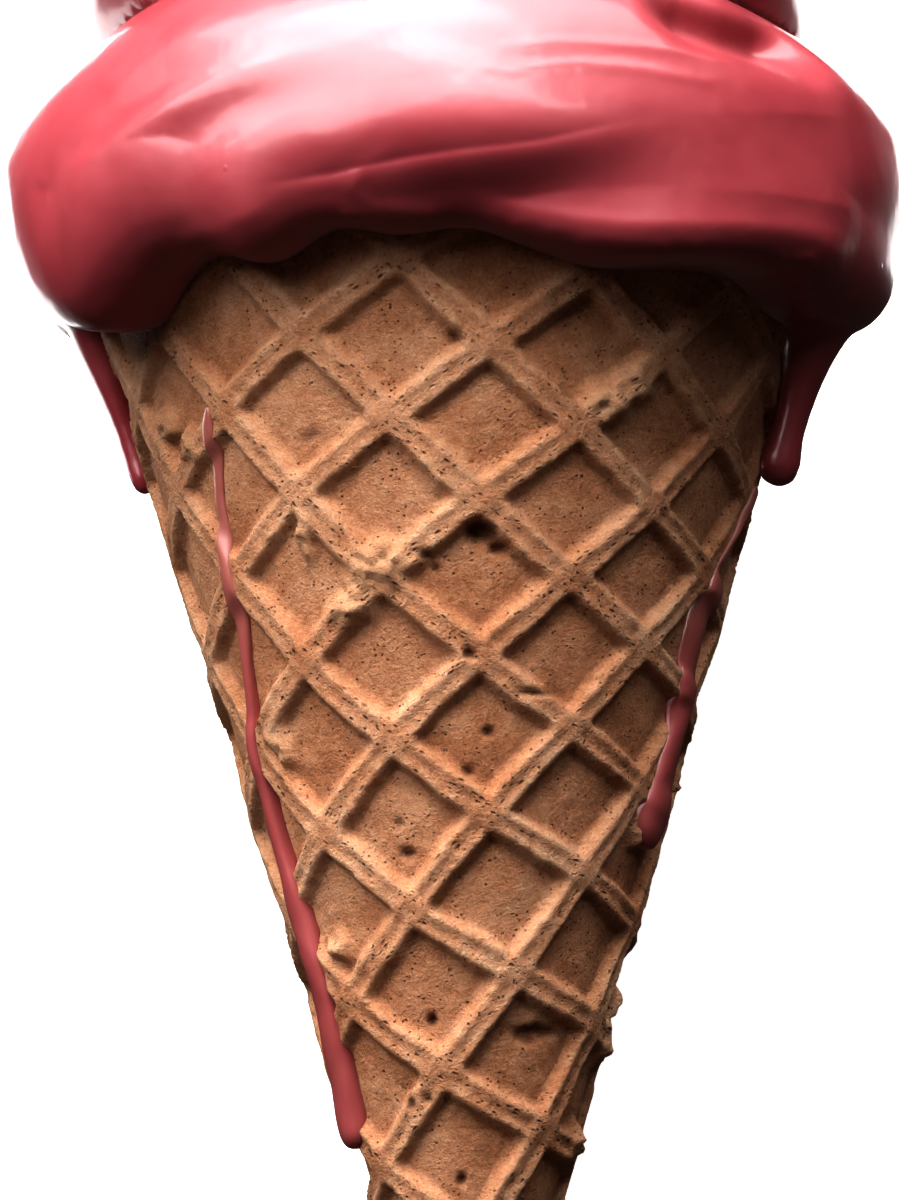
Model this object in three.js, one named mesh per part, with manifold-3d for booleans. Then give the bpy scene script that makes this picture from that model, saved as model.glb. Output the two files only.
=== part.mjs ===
// Ice cream cone: a rolled waffle cone holding a tall swirl of soft ice cream that is melting over the
// rim, with two thin runs of melt on the wafer. It lies on its back, with the tip of the cone towards -Y.
//
// Each piece is first described round the axis of the cone. An angle of 0 is the front, which faces up
// once the cone lies down, and angles grow towards the right, +X. A height is measured along the axis
// from the point where the sides of the cone would meet. Sizes are millimetres and angles are degrees.

import * as THREE from 'three';
import { ParametricGeometry } from 'three/addons/geometries/ParametricGeometry.js';
import { mergeVertices } from 'three/addons/utils/BufferGeometryUtils.js';
import Module from 'manifold-3d';

const wasm = await Module();
wasm.setup();

// ---- driving dimensions ----

// the waffle cone
const HALF_ANGLE = 16.55;
const TIP_HEIGHT = 6;
const TIP_SHOULDER = 8;
const RIM_HEIGHT = 117;
const RIM_ROUND = 0.8;
const TIP_RINGS = [[0, 0.45], [0.3, 0.8]];  // rounding of the tip: share of its height and of its radius
const WAFER = 1.6;              // thickness of the wafer, the step where its edge laps over itself
const STEP_FADE = 33;           // below this height the step is pressed flat towards the tip
const SEAM_ANGLE = 135;         // the lapped edge runs down the back, on the right
const SEAM_MARGIN = 2;          // the hollows stop this many degrees short of the lapped edge
const CONE_SIDES = 40;

// the grid of ridges pressed into the flat wafer, counted in ridges from the one nearest the rim
const GRID_PITCH = 11;
const GRID_TURN = 226.5;        // direction of the first family of ridges, from the front line of the cone
const GRID_SKEW = 8.4;          // how far the two families are from square
const GRID_ACROSS = -0.72;      // place of the first crossing on the flat wafer, in pitches
const GRID_ALONG = 10.49;
const GRID_MIDDLE = [2.5, 3];   // the wafer was rolled unevenly, so the ridges bend round this crossing
const GRID_REACH = 4;
const BEND_ACROSS = { first: 0.03, both: 0.021, second: 0.012 };
const BEND_ALONG = { first: -0.049, both: 0.017, second: 0.017 };
const RIDGE_DEPTH = 1.2;
const RIDGE_TOP = 2.2;
const RIDGE_FOOT = 3.4;
const CUT_ABOVE = 3;            // a hollow is cut from this far above the wafer, to clear its curve
const LOWEST_POCKET = 17;       // no hollows in the tightly rolled tip
const WIDEST_POCKET = 100;      // nor where one would reach further than this round the axis
const RIM_BAND = 2;             // nor in the last stretch up to the rim
const GRID_COUNT = 12;          // hollows to each side of the first crossing, enough to go all round

// the swirl of ice cream: the heights of its grooves shrink from turn to turn
const GROOVE_HEIGHT = 139.5;    // first full groove, seen at both sides
const TURN_RISE = 18;           // from that groove to the next one
const TURN_SHRINK = 0.75;
const SWIRL_TOP = 192;
const SWIRL_SIDES = 54;
const CREST = [                 // height, and radius of the swirl over the crests of its turns
  [100, 40], [110, 42], [118, 43.7], [124, 43.3], [130, 41.6], [136, 38.7], [142, 36], [148, 33.6],
  [158, 28.4], [168, 22.2], [178, 15.2], [186, 8.8], [192, 0],
];
const LUMPS = [                 // angle, height, spread round and up, and how far each stands out
  [84, 137.8, 15, 2.4, 3.2], [86, 132.5, 18, 3.2, -0.8], [88, 125, 26, 6, 1.2], [-92, 136, 36, 4.5, -2.2],
  [-76, 124, 26, 6, 0.7], [-106, 117, 22, 6.5, -5], [112, 116, 24, 6, -2.2],
];
const FLUTE = [[-60, 107], [-50, 113.5], [-45, 117.5], [-38, 120.8], [-26, 122.6], [-8, 122]];
const FLUTE_DEPTH = 1.2;        // a channel that sweeps down the front towards the left lobe
const FLUTE_WIDTH = 2.8;
const FLUTE_MIDDLE = -36;
const FLUTE_SPREAD = 20;
const GROOVE_DEPTH = [          // turns wound since the front of the rim, and depth of the groove there
  [-0.6, 0], [-0.2, 0.9], [0, 1.7], [0.3, 2], [0.6, 3.8], [1, 5.4], [2, 5.6], [3, 4.6], [4, 2.6], [5, 1],
];
const GROOVE_SHARPNESS = 3;
const CREST_SAG = 0.82;         // under 1 puts the crest of a turn below its middle
const CLIMB_LEVEL = 0.227;      // the turns run level across the front and climb at the back
const CLIMB_RIPPLE = 0.023;
const TURN_ROWS = [0, 0.08, 0.22, 0.4, 0.6, 0.78, 0.92];
const TURNS_BELOW = 2;          // turns wound before the front of the rim, and after it
const TURNS_ABOVE = 7;

// the melted hem hangs over the rim in lobes: angle and height of its lowest line
const HEM = [
  [-180, 110], [-152, 107.5], [-128, 112.5], [-104, 115.5], [-86, 114.5], [-74, 112], [-63, 108.5],
  [-53, 107.8], [-42, 111.3], [-35, 111.9], [-27, 110.2], [-17, 112.3], [-7, 111.6], [3, 112.2],
  [11, 110.6], [22, 109], [38, 109.9], [48, 110.4], [60, 109.4], [72, 109.4], [84, 110.6], [98, 113.5],
  [114, 114.5], [134, 108.5], [156, 110.5],
];
const LIP_LENGTH = 8.5;         // height over which the hem swells to its full thickness
const LIP_ROUNDER = { angle: -76, spread: 25, by: 6.5 };  // and over more at the side of the left lobe
const LIP_TUCK = 1.6;           // the underside of the hem curls up by this much
const LIP_INSET = 1;            // the hem starts this far inside the side of the cone
const LIP_ARC = [-90, -45, 0, 20, 42, 66, 90];
const LOBE_ANGLE = -56;         // the turns are dragged down where the left lobe hangs
const LOBE_SPREAD = 22;
const LOBE_SAG = 6;
const LOBE_REACH = 24;

// the peak leans over a little
const PEAK_FROM = 168;
const PEAK_LEAN = 3.2;
const PEAK_ANGLE = 35;

// streams of melt: angle, height, half width across and half thickness, from the top to the end
const RIGHT_DROP = [[76, 118, 5.5, 4], [78, 111, 4, 2.8], [80, 105.5, 2.3, 1.6], [81, 101, 1.8, 1.6],
  [81, 97.2, 2, 2]];
const REAR_DROP = [[-99, 117, 4.4, 2.6], [-100, 110, 2.8, 1.7], [-101, 104.5, 2, 1.2],
  [-102, 100.3, 1.9, 1.4]];
const RIGHT_DROP_LIFT = 2.2;    // how far the middle of a hanging drop stands off the cone
const REAR_DROP_LIFT = 0.6;
const RIGHT_RUN = [[78, 95.4, 1.2, 0.5], [73.5, 91, 1.2, 0.5], [70.5, 85.5, 2, 0.5], [67.5, 80.5, 2.2, 0.5],
  [69, 75.5, 1.9, 0.5], [69, 70.5, 1.9, 0.6], [68.5, 66, 2.3, 0.8], [69, 62.5, 2.3, 0.9]];
const LEFT_RUN = [[-48, 100.4, 0.8, 0.5], [-49.5, 96.5, 0.8, 0.5], [-52.5, 92, 0.8, 0.5],
  [-52.2, 86.5, 1, 0.6], [-52.6, 82.5, 1.4, 0.7], [-55, 77, 1, 0.7], [-58.5, 70, 1.2, 0.7],
  [-58.3, 62, 1.4, 0.8], [-56, 54, 1.5, 0.8], [-56.5, 47.5, 1.5, 0.8], [-60.5, 42, 1.6, 0.9],
  [-67.5, 37.2, 1.6, 1]];
const STREAM_SIDES = 8;
const STREAM_STEP = 3.5;
const STREAM_CAP = [0, 0.3, 0.7];           // rings of a rounded end, as shares of its length

// gap between pieces that touch
const GAP = 0.3;

// how the whole lies: the tip and the back of the swirl rest on the ground
const LEAN = 19.5;              // the axis rises this much towards the swirl
const TIP_SUNK = 0.52;          // the meeting point of the sides lies this far below the ground

// ---- small helpers ----

const rad = THREE.MathUtils.degToRad;
const tanHalf = Math.tan(rad(HALF_ANGLE));
const sinHalf = Math.sin(rad(HALF_ANGLE));
const cosHalf = Math.cos(rad(HALF_ANGLE));

// a point at an angle round the axis, a distance from it and a height along it
function around(angle, radius, height) {
  return new THREE.Vector3(radius * Math.sin(rad(angle)), -radius * Math.cos(rad(angle)), height);
}

// the angle from one direction round the axis to another, the short way
function between(from, to) {
  return (to - from + 540) % 360 - 180;
}

// the value at x of a smooth curve through knots [x, value], held level past both ends
function through(knots, x) {
  const last = knots.length - 1;
  if (x <= knots[0][0]) {
    return knots[0][1];
  }
  if (x >= knots[last][0]) {
    return knots[last][1];
  }
  const i = knots.findIndex((knot) => knot[0] > x) - 1;
  const slope = (k) => {
    const a = knots[Math.max(k - 1, 0)];
    const b = knots[Math.min(k + 1, last)];
    return (b[1] - a[1]) / (b[0] - a[0]);
  };
  const [x0, y0] = knots[i];
  const [x1, y1] = knots[i + 1];
  const span = x1 - x0;
  const t = (x - x0) / span;
  return y0 * (1 + 2 * t) * (1 - t) ** 2 + slope(i) * span * t * (1 - t) ** 2
    + y1 * t * t * (3 - 2 * t) - slope(i + 1) * span * t * t * (1 - t);
}

// a closed three.js geometry as a solid, and a solid as a geometry
function solid(geometry) {
  const bare = geometry.clone();
  bare.deleteAttribute('normal');
  bare.deleteAttribute('uv');
  const merged = mergeVertices(bare, 1e-3);
  const corners = [];
  const index = merged.index.array;
  for (let i = 0; i < index.length; i += 3) {
    const [a, b, c] = index.subarray(i, i + 3);
    if (a !== b && b !== c && c !== a) {
      corners.push(a, b, c);
    }
  }
  return new wasm.Manifold(new wasm.Mesh({
    numProp: 3,
    vertProperties: new Float32Array(merged.attributes.position.array),
    triVerts: new Uint32Array(corners),
  }));
}

function geometryOf(body) {
  const mesh = body.getMesh();
  const geometry = new THREE.BufferGeometry();
  geometry.setAttribute('position', new THREE.BufferAttribute(new Float32Array(mesh.vertProperties), 3));
  geometry.setIndex(new THREE.BufferAttribute(new Uint32Array(mesh.triVerts), 1));
  geometry.computeVertexNormals();
  return geometry;
}

// a surface over the unit square, closed where its edges meet; place(u, v) gives each point
function surface(slices, stacks, place) {
  return new ParametricGeometry((u, v, target) => target.copy(place(u, v)), slices, stacks);
}

// ---- the waffle cone ----

// the wafer is rolled, so its outside spirals out by its own thickness in one turn round the axis
function wrapLift(angle, height) {
  const turn = (angle - SEAM_ANGLE) / 360 + 1;
  return WAFER * (turn - 0.5) * Math.min(1, height / STEP_FADE);
}

// a point on the outside of the cone, lifted off it by some distance
function onCone(angle, slant, lift) {
  const height = slant * cosHalf;
  const radius = slant * sinHalf + wrapLift(angle, height) + lift * cosHalf;
  return around(angle, radius, height - lift * sinHalf);
}

// where a place on the grid of ridges comes to lie on the cone: its angle and slant distance
function gridPlace(first, second) {
  const bent = (value, middle) => GRID_REACH * Math.tanh((value - middle) / GRID_REACH);
  const p = bent(first, GRID_MIDDLE[0]);
  const q = bent(second, GRID_MIDDLE[1]);
  const bend = (k) => k.first * p * p + k.both * p * q + k.second * q * q;
  const one = rad(GRID_TURN);
  const two = rad(GRID_TURN - 90 - GRID_SKEW);
  const across = GRID_ACROSS + first * Math.sin(one) + second * Math.sin(two) + bend(BEND_ACROSS);
  const along = GRID_ALONG + first * Math.cos(one) + second * Math.cos(two) + bend(BEND_ALONG);
  const flatAngle = THREE.MathUtils.radToDeg(Math.atan2(across, along));
  return { angle: flatAngle / sinHalf, slant: GRID_PITCH * Math.hypot(across, along) };
}

// the plain cone, one ring of points for each height, with the step of the lapped edge in the last slice
function coneBody() {
  const sideAt = (height) => height * tanHalf;
  const rings = [
    [TIP_HEIGHT, 0],
    ...TIP_RINGS.map(([up, out]) => (
      [TIP_HEIGHT + up * (TIP_SHOULDER - TIP_HEIGHT), out * sideAt(TIP_SHOULDER)])),
    [TIP_SHOULDER, sideAt(TIP_SHOULDER)],
    [RIM_HEIGHT - RIM_ROUND, sideAt(RIM_HEIGHT - RIM_ROUND)],
    [RIM_HEIGHT, sideAt(RIM_HEIGHT) - RIM_ROUND],
    [RIM_HEIGHT, 0],
  ];
  const stacks = rings.length - 1;
  return surface(CONE_SIDES, stacks, (u, v) => {
    const [height, radius] = rings[Math.round(v * stacks)];
    const column = Math.round(u * CONE_SIDES) % CONE_SIDES;
    const angle = SEAM_ANGLE - 360 + 360 * column / (CONE_SIDES - 1);
    const lift = radius > 0 ? wrapLift(angle, height) : 0;
    return around(angle, radius + lift, height);
  });
}

// the hollow between four ridges, cut from just above the wafer down to its floor
function pocket(first, second) {
  const steps = gridPlace(first + 0.5, second + 0.5).slant < RIM_HEIGHT / 2 ? 2 : 1;
  const block = new THREE.BoxGeometry(1, 1, 1, steps, steps, 1);
  const points = block.attributes.position;
  const slope = (RIDGE_FOOT - RIDGE_TOP) / 2 / RIDGE_DEPTH;
  for (let i = 0; i < points.count; i += 1) {
    const lift = points.getZ(i) > 0 ? -RIDGE_DEPTH : CUT_ABOVE;
    const inset = (RIDGE_TOP / 2 - lift * slope) / GRID_PITCH;
    const shrink = 1 - 2 * inset;
    const place = gridPlace(first + 0.5 + points.getY(i) * shrink, second + 0.5 + points.getX(i) * shrink);
    const point = onCone(place.angle, place.slant, lift);
    points.setXYZ(i, point.x, point.y, point.z);
  }
  return solid(block);
}

// everything on one side of the plane through the axis at an angle, to trim a pocket at the lapped edge
function sideOf(angle, sign) {
  const reach = 4 * RIM_HEIGHT;
  const half = new THREE.BoxGeometry(reach, reach, reach);
  half.translate(sign * reach / 2, 0, 0);
  half.rotateZ(rad(angle - 90) + Math.PI / 2);
  return solid(half);
}

function waffleCone() {
  const top = RIM_HEIGHT - RIM_BAND;
  const seamEnd = SEAM_ANGLE - SEAM_MARGIN;
  const seamStart = SEAM_ANGLE - 360 + SEAM_MARGIN;
  const belowRim = solid(new THREE.BoxGeometry(RIM_HEIGHT, RIM_HEIGHT, top).translate(0, 0, top / 2));
  let cone = solid(coneBody());
  for (let first = -GRID_COUNT; first <= GRID_COUNT; first += 1) {
    for (let second = -GRID_COUNT; second <= GRID_COUNT; second += 1) {
      const corners = [[0, 0], [1, 0], [0, 1], [1, 1]].map(([a, b]) => gridPlace(first + a, second + b));
      const from = Math.min(...corners.map((corner) => corner.angle));
      const to = Math.max(...corners.map((corner) => corner.angle));
      const lowest = Math.min(...corners.map((corner) => corner.slant * cosHalf));
      const middle = gridPlace(first + 0.5, second + 0.5).slant * cosHalf;
      const onWafer = from < seamEnd && to > seamStart && to - from < WIDEST_POCKET;
      if (lowest < LOWEST_POCKET || middle > RIM_HEIGHT || !onWafer) {
        continue;
      }
      let hollow = pocket(first, second).intersect(belowRim);
      if (to > seamEnd) {
        hollow = hollow.intersect(sideOf(seamEnd, -1));
      }
      if (from < seamStart) {
        hollow = hollow.intersect(sideOf(seamStart, 1));
      }
      cone = cone.subtract(hollow);
    }
  }
  return cone;
}

// ---- the ice cream ----

// turns wound up to a height, and back: each turn is lower than the one under it by the same share
function turnsAt(height) {
  const fall = 1 - (height - GROOVE_HEIGHT) * (1 - TURN_SHRINK) / TURN_RISE;
  return 1 + Math.log(Math.max(fall, 1e-3)) / Math.log(TURN_SHRINK);
}

function heightAt(turns) {
  return GROOVE_HEIGHT + TURN_RISE * (1 - TURN_SHRINK ** (turns - 1)) / (1 - TURN_SHRINK);
}

// share of a turn that the winding has climbed at an angle
function climb(angle) {
  return angle / 360 - CLIMB_LEVEL * Math.sin(rad(angle)) + CLIMB_RIPPLE * Math.sin(rad(3 * angle));
}

function hemAt(angle) {
  const wrapped = [HEM.at(-1)[0] - 360, HEM.at(-1)[1]];
  const round = [wrapped, ...HEM, [180, HEM[0][1]], [HEM[1][0] + 360, HEM[1][1]]];
  return through(round, angle);
}

function lipAt(angle) {
  return LIP_LENGTH + LIP_ROUNDER.by * Math.exp(-((between(LIP_ROUNDER.angle, angle) / LIP_ROUNDER.spread) ** 2));
}

// how far the turns are dragged down at the left lobe, most at the hem and not at all higher up
function sagAt(angle, height) {
  const near = Math.exp(-((between(LOBE_ANGLE, angle) / LOBE_SPREAD) ** 2));
  const low = THREE.MathUtils.clamp((GROOVE_HEIGHT - height) / LOBE_REACH, 0, 1);
  return LOBE_SAG * near * low * low * (3 - 2 * low);
}

// radius of the swirl: the crests of its turns, less the groove between two turns
function swirlRadius(angle, height) {
  let level = height;
  for (let i = 0; i < 6; i += 1) level = height + sagAt(angle, level);
  const turns = turnsAt(level) - climb(angle);
  const share = (turns - Math.floor(turns)) ** CREST_SAG;
  const depth = through(GROOVE_DEPTH, turns + angle / 360);
  const lumps = LUMPS.map(([at, up, wide, tall, size]) => (
    size * Math.exp(-((between(at, angle) / wide) ** 2) - ((height - up) / tall) ** 2)));
  const groove = depth * Math.abs(2 * share - 1) ** GROOVE_SHARPNESS;
  const flute = FLUTE_DEPTH * Math.exp(-(((height - through(FLUTE, angle)) / FLUTE_WIDTH) ** 2)
    - ((between(FLUTE_MIDDLE, angle) / FLUTE_SPREAD) ** 2));
  return Math.max(through(CREST, height) - groove - flute + lumps.reduce((sum, lump) => sum + lump), 0.05);
}

function peakShift(height) {
  const share = Math.max(0, (height - PEAK_FROM) / (SWIRL_TOP - PEAK_FROM));
  return around(PEAK_ANGLE, PEAK_LEAN * share * share, 0);
}

function swirl() {
  const rows = [];
  for (let turn = -TURNS_BELOW; turn < TURNS_ABOVE; turn += 1) {
    TURN_ROWS.forEach((share) => rows.push(turn + share));
  }
  const stacks = 1 + LIP_ARC.length + rows.length;
  return surface(SWIRL_SIDES, stacks, (u, v) => {
    const angle = 360 * u - 180;
    const row = Math.round(v * stacks);
    if (row === 0) {
      return around(0, 0, RIM_HEIGHT - RIM_BAND);
    }
    const hem = hemAt(angle);
    const lip = lipAt(angle);
    const full = hem + lip;
    const inner = hem * tanHalf - LIP_INSET;
    if (row <= LIP_ARC.length) {
      const arc = rad(LIP_ARC[row - 1]);
      const rise = (arc < 0 ? LIP_TUCK : lip) * (1 - Math.cos(arc));
      const outer = swirlRadius(angle, full);
      return around(angle, inner + (outer - inner) * (1 + Math.sin(arc)) / 2, hem + rise);
    }
    const turns = rows[row - LIP_ARC.length - 1];
    if (row === stacks || turns + climb(angle) > turnsAt(SWIRL_TOP)) {
      return around(0, 0, SWIRL_TOP).add(peakShift(SWIRL_TOP));
    }
    const level = heightAt(turns + climb(angle));
    const height = Math.max(level - sagAt(angle, level), full);
    return around(angle, swirlRadius(angle, height), height).add(peakShift(height));
  });
}

// a stream of melt with rounded ends that follows the cone; each of its points is
// [angle, height, half width, half thickness], and lift is how far its middle stands off the cone
function stream(points, lift) {
  const path = new THREE.CatmullRomCurve3(points.map(([angle, height, , thick]) => (
    onCone(angle, height / cosHalf, lift ?? GAP + thick))));
  const sizeAt = (index, t) => (
    through(points.map((point, i) => [i / (points.length - 1), point[index]]), t));
  const length = path.getLength();
  const steps = Math.round(length / STREAM_STEP) + 2;
  const cap = points.at(-1)[2] / length;
  const ends = STREAM_CAP.map((part) => part * cap);
  const stops = [...ends];
  for (let i = 0; i <= steps; i += 1) {
    stops.push(cap + (1 - 2 * cap) * i / steps);
  }
  stops.push(...ends.map((end) => 1 - end).reverse());
  const stacks = stops.length - 1;
  return solid(surface(STREAM_SIDES, stacks, (u, v) => {
    const t = stops[Math.round(v * stacks)];
    const middle = path.getPoint(t);
    const along = path.getTangent(t);
    const outward = new THREE.Vector3(middle.x, middle.y, 0).normalize();
    const side = new THREE.Vector3().crossVectors(along, outward).normalize();
    const fromEnd = Math.min(t, 1 - t) / cap;
    const round = fromEnd < 1 ? Math.sqrt(1 - (1 - fromEnd) ** 2) : 1;
    const turn = -2 * Math.PI * u;
    return middle.clone()
      .addScaledVector(side, sizeAt(2, t) * round * Math.cos(turn))
      .addScaledVector(outward, sizeAt(3, t) * round * Math.sin(turn));
  }));
}

// the space the cone takes up, with the gap round it
function coneClearance() {
  const room = (WAFER / 2 + GAP) / cosHalf;
  const profile = [
    [0, 0],
    [room, 0],
    [(RIM_HEIGHT + GAP) * tanHalf + room, RIM_HEIGHT + GAP],
    [0, RIM_HEIGHT + GAP],
  ].map(([radius, height]) => new THREE.Vector2(radius, height));
  return solid(new THREE.LatheGeometry(profile, SWIRL_SIDES).rotateX(Math.PI / 2));
}

// everything below the ground, seen from the cone before it is laid down
function belowGround() {
  const size = 4 * SWIRL_TOP;
  const block = new THREE.BoxGeometry(size, size, size).translate(0, 0, -size / 2);
  block.applyMatrix4(lying.matrix.clone().invert());
  return solid(block);
}

function iceCream() {
  return solid(swirl())
    .add(stream(RIGHT_DROP, RIGHT_DROP_LIFT))
    .add(stream(REAR_DROP, REAR_DROP_LIFT))
    .subtract(coneClearance())
    .subtract(belowGround());
}

// ---- putting the cone together, lying on its back ----

const WAFER_BROWN = new THREE.MeshStandardMaterial({ color: '#a86f3f', roughness: 0.85, metalness: 0 });
const MELT_PINK = new THREE.MeshStandardMaterial({ color: '#d8707c', roughness: 0.25, metalness: 0 });

const lying = new THREE.Group();
lying.rotation.x = -rad(90 - LEAN);
lying.position.z = -TIP_SUNK;
lying.updateMatrix();

function addPiece(name, body, material) {
  const mesh = new THREE.Mesh(geometryOf(body), material);
  mesh.name = name;
  lying.add(mesh);
}

addPiece('waffle_cone', waffleCone(), WAFER_BROWN);
addPiece('ice_cream', iceCream(), MELT_PINK);
addPiece('melt_run_right', stream(RIGHT_RUN), MELT_PINK);
addPiece('melt_run_left', stream(LEFT_RUN), MELT_PINK);

// the origin is on the ground, under the middle of the whole
const iceCreamCone = new THREE.Group();
iceCreamCone.add(lying);
iceCreamCone.updateMatrixWorld(true);
const middle = new THREE.Box3().setFromObject(iceCreamCone, true).getCenter(new THREE.Vector3());
lying.position.x -= middle.x;
lying.position.y -= middle.y;

export default iceCreamCone;
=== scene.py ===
import math

import bpy
import numpy as np
from mathutils import Matrix, Vector, noise


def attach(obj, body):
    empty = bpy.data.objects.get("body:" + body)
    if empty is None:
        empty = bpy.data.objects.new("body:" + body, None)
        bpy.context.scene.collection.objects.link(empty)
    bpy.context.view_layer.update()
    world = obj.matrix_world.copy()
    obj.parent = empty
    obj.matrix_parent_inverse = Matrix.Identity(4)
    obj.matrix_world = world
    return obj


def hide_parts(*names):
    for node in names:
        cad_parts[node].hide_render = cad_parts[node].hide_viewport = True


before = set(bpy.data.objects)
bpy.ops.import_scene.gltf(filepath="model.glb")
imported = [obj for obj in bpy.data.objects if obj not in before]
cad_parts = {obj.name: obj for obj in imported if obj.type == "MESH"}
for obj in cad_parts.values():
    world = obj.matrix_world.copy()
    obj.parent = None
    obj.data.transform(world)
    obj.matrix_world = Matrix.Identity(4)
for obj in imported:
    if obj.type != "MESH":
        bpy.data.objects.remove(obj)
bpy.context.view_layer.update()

# ---------------------------------------------------------------------------------------------
# The eye. The cone lies on its back on a pale floor, and the eye looks down on its front from
# the tip's side, 35 cm over the floor, a little nearer than the eye of someone about to eat it.
# ---------------------------------------------------------------------------------------------

EYE_PLACE = (-0.001165, -0.208620, 0.350445)
EYE_TURN = (31.497, 0.470, -0.767)
EYE_LENS = 120
FILM_HEIGHT = 36

bpy.ops.object.camera_add(location=EYE_PLACE, rotation=[math.radians(a) for a in EYE_TURN])
eye = bpy.context.object
eye.name = "eye"
eye.data.sensor_fit = "VERTICAL"
eye.data.sensor_height = FILM_HEIGHT
eye.data.lens = EYE_LENS
eye.data.clip_start = 0.01
eye.data.clip_end = 30
bpy.context.scene.camera = eye

# ---------------------------------------------------------------------------------------------
# The waffle cone: a thin flat wafer, baked between two plates that press a grid of ridges into
# it, and rolled while still hot, so it winds out by its own thickness where its edge laps over.
# ---------------------------------------------------------------------------------------------

# Here and below, sizes are millimetres round the axis of the cone, and heights count from where its
# sides would meet. An angle of 0 is the front, which faces up as the cone lies, and it grows to the right.
HALF_ANGLE = math.radians(16.55)
RIM_HEIGHT = 117.0
TIP_HEIGHT = 6.0
TIP_SHOULDER = 8.0
RIM_ROUND = 0.8
WAFER = 1.6
STEP_FADE = 33.0
SEAM_ANGLE = 135.0
LYING = Matrix.Translation((-0.8437, -92.6995, -0.52)) @ Matrix.Rotation(math.radians(-70.5), 4, "X")

# the grid of ridges as it lies on the flat wafer: its pitch, how it is turned and skewed, where it
# starts, and how its lines bend away from straight ones
RIDGE_PITCH = 11.0
GRID_TURN = math.radians(226.5)
GRID_SKEW = math.radians(8.4)
GRID_START = np.array([-0.72, 10.49])
GRID_MIDDLE = np.array([2.5, 3.0])
GRID_REACH = 4.0
BEND_ACROSS = (0.03, 0.021, 0.012)
BEND_ALONG = (-0.049, 0.017, 0.017)
BEND_STEPS = 25
RIDGE_DEPTH = 1.2
RIDGE_HALF_TOP = 0.88
RIDGE_TOP_VARIES = 0.25
RIDGE_WALL = 1.0
RIDGE_EDGE = 0.42
LOWEST_RIDGE, LOWEST_RIDGE_FADE = 15.0, 5
WORN_DEPTH, WORN_VARIES, WORN_HALF_WIDTH = 0.2, 0.12, 0.6
FLOOR_RISE = 0.22
RIM_FADE, TIP_FADE = 1.5, 6
# the ridges sway sideways: the size of the waves, two places in the noise, and how far
SWAYS = [(9, 3.1, 7.7, 0.35), (2.2, 6.1, 8.7, 0.16)]
# the spots on it have torn outlines: the size of the tears, and how far they reach round and along
TEAR_SIZE = 1.6
SCRAP_TEARS, BURST_TEARS = (1.6, 0.8), (0.5, 0.3)

# the columns of the mesh stand closer over the front, up to an angle from it and fading past it
WAFER_COLUMNS, WAFER_ROWS = 330, 298
FRONT_CLOSER, FRONT_HALF, FRONT_HALF_FADE = 2.5, 105, 20

# scraps of batter that stand out, and small burst bubbles: angle, height, half width round,
# half length along, and how far each stands out or sinks in
SCRAPS = [
    (-15.9, 84.6, 2.9, 1.7, 1.0), (-22.6, 81.2, 1.9, 1.2, 0.9), (-19, 83, 2.2, 1.2, 0.5),
    (29, 98.4, 2.2, 1.5, 0.8), (34, 100.3, 1.8, 1.4, 0.7), (-63.2, 100.1, 2.2, 1.2, 0.8),
    (-56, 97.6, 1.6, 1.3, 0.7), (-50.7, 70.5, 1.3, 2.0, 0.6), (-31, 88, 0.9, 2.4, 0.5),
    (-47, 52, 1.4, 1.2, 0.6), (78, 47.5, 0.9, 1.5, 0.9), (80, 43.4, 0.8, 1.1, 0.9),
    (82, 68, 0.9, 1.2, 0.8), (76, 35.2, 1.0, 1.3, 1.0), (62, 63, 1.2, 1.4, 0.6),
]
BURSTS = [
    (5.7, 86.9, 1.3, 0.8, 1.1), (9.5, 85.6, 0.9, 0.6, 0.8), (-5.5, 85.2, 0.6, 0.4, 0.6),
    (-3.5, 83.9, 0.4, 0.4, 0.5), (3.5, 76.7, 0.5, 0.5, 0.9), (8.4, 69.9, 0.5, 0.4, 0.6),
    (3.5, 66.6, 0.6, 0.4, 0.5), (-15, 59.7, 0.8, 0.45, 0.6), (-17, 62.4, 0.5, 0.4, 0.4),
    (-11.3, 45.2, 0.5, 0.5, 0.8), (-23.5, 38.2, 0.5, 0.5, 0.6), (-15, 38.6, 0.45, 0.4, 0.5),
    (0, 31.2, 0.5, 0.5, 0.6), (33.3, 44.3, 2.4, 0.5, 0.8), (29, 43.7, 1.4, 0.5, 0.6),
    (20, 73.5, 2.0, 0.3, 0.5), (-27, 96, 1.2, 0.4, 0.35), (1, 103.5, 0.6, 0.6, 0.5),
]


def round_axis(angle, radius, height):
    turn = np.radians(angle)
    return np.stack([radius * np.sin(turn), -radius * np.cos(turn), np.broadcast_to(height, turn.shape)], -1)


def laid_down(points):
    """Points round the upright axis, in millimetres, put where they lie, in metres."""
    turn = np.array(LYING.to_3x3())
    return (points @ turn.T + np.array(LYING.translation)) * 0.001


def roughness_at(points, size, shift=0.0):
    """Smooth noise from -1 to 1 with bumps of about that size in millimetres."""
    return np.array([noise.noise(Vector(p)) for p in (points / size + shift).tolist()])


def smooth_step(x):
    t = np.clip(x, 0, 1)
    return t * t * (3 - 2 * t)


def wrap_lift(angle, height):
    turn = (angle - SEAM_ANGLE) / 360 + 1
    return WAFER * (turn - 0.5) * np.minimum(1, height / STEP_FADE)


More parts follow.
